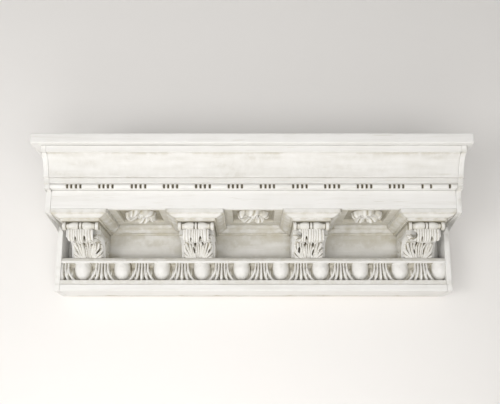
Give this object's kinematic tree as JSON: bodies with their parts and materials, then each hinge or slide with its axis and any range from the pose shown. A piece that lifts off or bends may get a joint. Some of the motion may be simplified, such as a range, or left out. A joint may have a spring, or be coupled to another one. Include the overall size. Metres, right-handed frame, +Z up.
{
  "type": "carved wooden cornice shelf",
  "caption": "Wall-hung carved and painted wooden cornice with a flat shelf top, leaf modillions, coffers with rosettes, bead and reel and egg and leaf bands.",
  "frame": {"origin": "middle of the flat back, where it lies against the wall", "axes": "+Y out of the back into the wall, +Z up, +X along the length to the right as seen from the front"},
  "size_m": [1.2, 0.307, 0.396],
  "materials": {
    "painted_wood": "matt warm white paint, brushed on, a little worn and dusty in the carving",
    "bare_wood": "sawn and planed bare softwood"
  },
  "bodies": {
    "root": {"back_board": "bare_wood", "base_fillet": "painted_wood", "bead_and_reel_strip": "painted_wood", "bed_moulding_1": "painted_wood", "bed_moulding_2": "painted_wood", "bed_moulding_3": "painted_wood", "corona_board": "painted_wood", "crown_moulding": "painted_wood", "egg_and_leaf_moulding": "painted_wood", "end_board_left": "painted_wood", "end_board_right": "painted_wood", "modillion_1": "painted_wood", "modillion_1_cap_front": "painted_wood", "modillion_1_cap_left": "painted_wood", "modillion_1_cap_right": "painted_wood", "modillion_2": "painted_wood", "modillion_2_cap_front": "painted_wood", "modillion_2_cap_left": "painted_wood", "modillion_2_cap_right": "painted_wood", "modillion_3": "painted_wood", "modillion_3_cap_front": "painted_wood", "modillion_3_cap_left": "painted_wood", "modillion_3_cap_right": "painted_wood", "modillion_4": "painted_wood", "modillion_4_cap_front": "painted_wood", "modillion_4_cap_left": "painted_wood", "modillion_4_cap_right": "painted_wood", "rosette_1": "painted_wood", "rosette_2": "painted_wood", "rosette_3": "painted_wood", "shelf_board": "painted_wood", "soffit_board": "painted_wood"}
  },
  "joints": []
}
